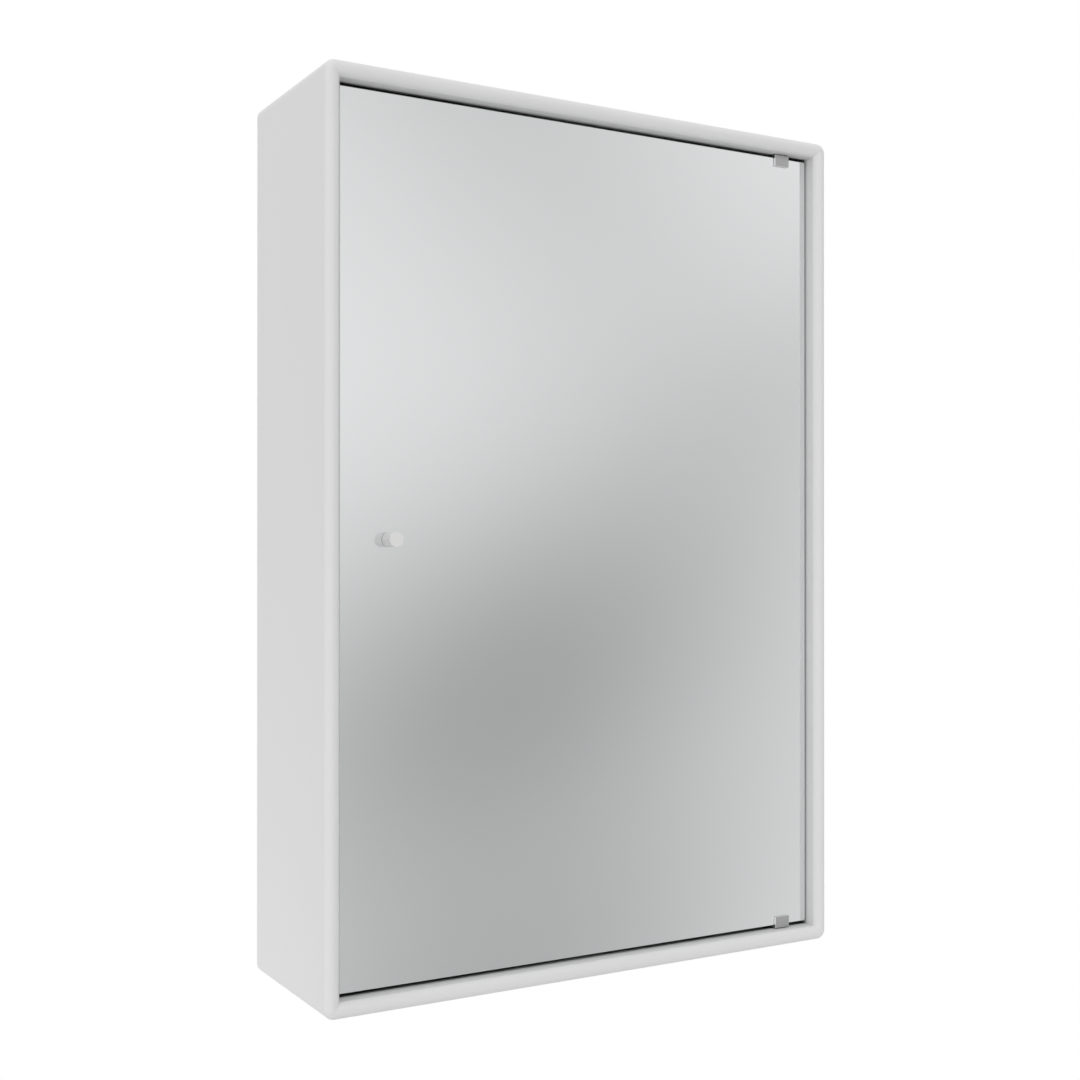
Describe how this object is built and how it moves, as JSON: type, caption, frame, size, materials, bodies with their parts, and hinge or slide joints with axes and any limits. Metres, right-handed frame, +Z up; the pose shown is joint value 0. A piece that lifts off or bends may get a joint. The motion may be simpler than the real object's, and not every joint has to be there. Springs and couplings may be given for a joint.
{
  "type": "mirror cabinet",
  "caption": "White wall cabinet with rounded front edges and an inset frameless mirror door that turns on two pivot clips, with a round knob and glass shelves.",
  "frame": {"origin": "on the wall plane, midway between the two holes of the wall rail", "axes": "+X to the right seen from the front, +Y towards the wall, +Z up; the mirror faces -Y"},
  "size_m": [0.468, 0.1515, 0.696],
  "materials": {
    "white_lacquer": "satin lacquer on fibreboard",
    "plywood": "raw",
    "galvanised_steel": "zinc plated",
    "screw_steel": "satin",
    "shelf_glass": "clear, polished edges",
    "dark_plastic": "matt",
    "white_plastic": "matt",
    "magnet_ferrite": "matt",
    "mirror_silver": "polished mirror, bevelled edges",
    "safety_film": "matt",
    "clip_metal": "satin",
    "knob_lacquer": "satin"
  },
  "bodies": {
    "cabinet": {"left_side_panel": "white_lacquer", "right_side_panel": "white_lacquer", "top_panel": "white_lacquer", "bottom_panel": "white_lacquer", "back_panel": "white_lacquer", "mitre_splines": "plywood", "wall_rail": "galvanised_steel", "hanging_rail": "galvanised_steel", "hanging_rail_screws": "screw_steel", "upper_shelf": "shelf_glass", "middle_shelf": "shelf_glass", "lower_shelf": "shelf_glass", "shelf_pins": "screw_steel", "upper_pivot_bush": "dark_plastic", "lower_pivot_bush": "dark_plastic", "catch_housing": "white_plastic", "catch_magnet": "magnet_ferrite", "catch_screws": "screw_steel"},
    "door": {"mirror_glass": "mirror_silver", "mirror_backing": "safety_film", "upper_hinge_clip": "clip_metal", "lower_hinge_clip": "clip_metal", "upper_pivot_pin": "screw_steel", "lower_pivot_pin": "screw_steel", "clip_screws": "screw_steel", "clip_front_pads": "white_plastic", "clip_rear_pads": "white_plastic", "knob": "knob_lacquer", "knob_washer": "white_plastic", "knob_screw": "screw_steel", "knob_rear_washer": "dark_plastic", "strike_plate": "screw_steel", "strike_pad": "safety_film"}
  },
  "joints": [
    {"name": "door_hinge", "type": "hinge", "parent": "cabinet", "child": "door", "pos_m": [0.193, -0.135, -0.286], "axis": [0, 0, 1], "range_deg": [0, 150]}
  ]
}
